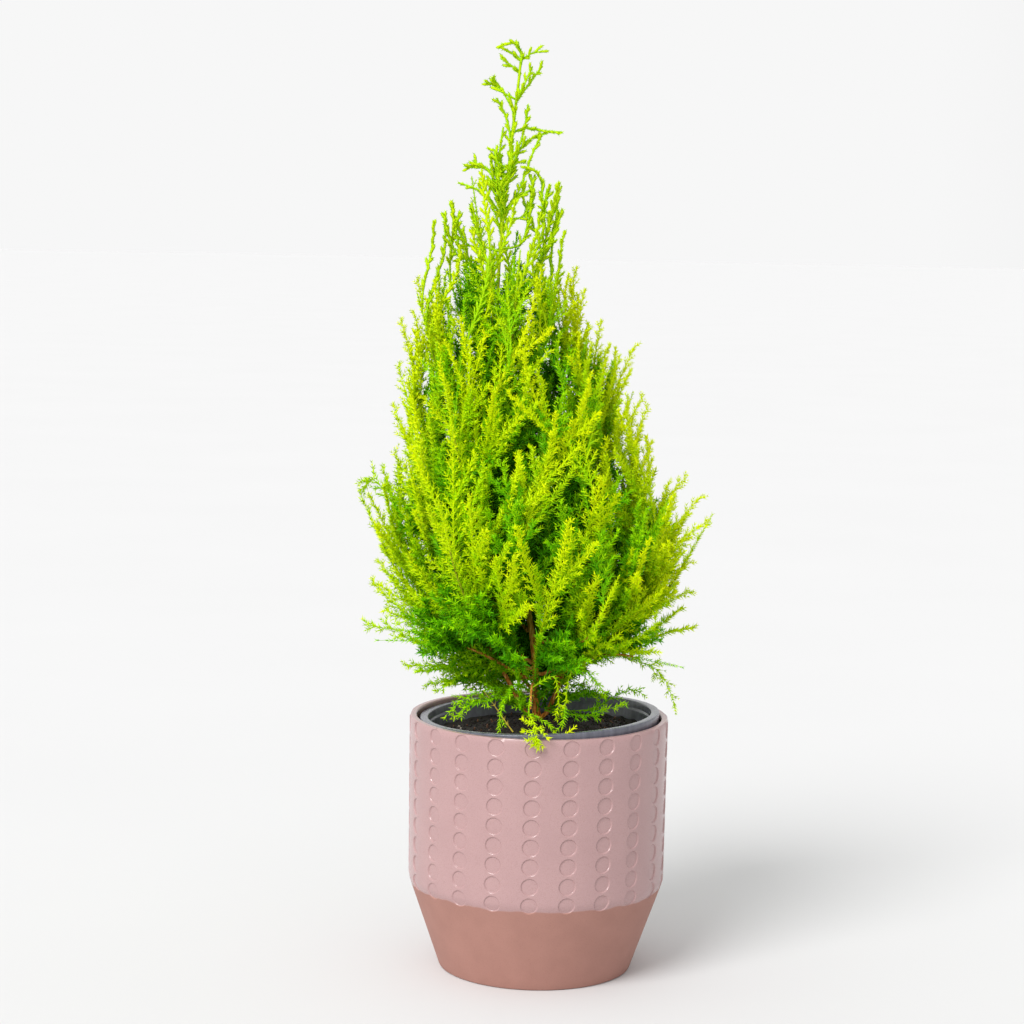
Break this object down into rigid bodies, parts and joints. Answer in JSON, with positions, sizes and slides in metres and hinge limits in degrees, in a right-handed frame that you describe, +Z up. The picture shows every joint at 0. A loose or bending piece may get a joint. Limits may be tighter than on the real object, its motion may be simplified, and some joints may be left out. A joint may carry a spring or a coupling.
{
  "type": "potted lemon cypress",
  "caption": "Young cone-shaped lemon cypress with feathery lime-green plumes, in a plastic grow pot inside a glazed cover pot that tapers below a fold.",
  "frame": {"origin": "centre of the cover pot's flat underside", "axes": "+Z up, -Y towards the front of the picture, +X to the plant's right as seen from the front"},
  "size_m": [0.2128, 0.1993, 0.5585],
  "materials": {
    "glaze": "satin pink glaze above the fold, bare brown-pink stoneware below it",
    "grow_pot": "moulded, slightly scuffed rim",
    "soil": "moist dark potting soil",
    "bark": "reddish-brown flaking bark",
    "foliage": "soft lime-green needles"
  },
  "bodies": {
    "root": {"bough_low_1": "bark", "bough_low_2": "bark", "bough_low_3": "bark", "bough_low_4": "bark", "bough_low_5": "bark", "bough_lower_1": "bark", "bough_lower_2": "bark", "bough_lower_3": "bark", "bough_lower_4": "bark", "bough_lower_5": "bark", "bough_lower_6": "bark", "bough_middle_1": "bark", "bough_middle_2": "bark", "bough_middle_3": "bark", "bough_middle_4": "bark", "bough_middle_5": "bark", "bough_top_1": "bark", "bough_top_2": "bark", "bough_top_3": "bark", "bough_upper_1": "bark", "bough_upper_2": "bark", "bough_upper_3": "bark", "bough_upper_4": "bark", "cover_pot": "glaze", "foliage_leader": "foliage", "foliage_low_1": "foliage", "foliage_low_2": "foliage", "foliage_low_3": "foliage", "foliage_low_4": "foliage", "foliage_low_5": "foliage", "foliage_lower_1": "foliage", "foliage_lower_2": "foliage", "foliage_lower_3": "foliage", "foliage_lower_4": "foliage", "foliage_lower_5": "foliage", "foliage_lower_6": "foliage", "foliage_middle_1": "foliage", "foliage_middle_2": "foliage", "foliage_middle_3": "foliage", "foliage_middle_4": "foliage", "foliage_middle_5": "foliage", "foliage_top_1": "foliage", "foliage_top_2": "foliage", "foliage_top_3": "foliage", "foliage_upper_1": "foliage", "foliage_upper_2": "foliage", "foliage_upper_3": "foliage", "foliage_upper_4": "foliage", "grow_pot": "grow_pot", "soil": "soil", "trunk": "bark"}
  },
  "joints": []
}
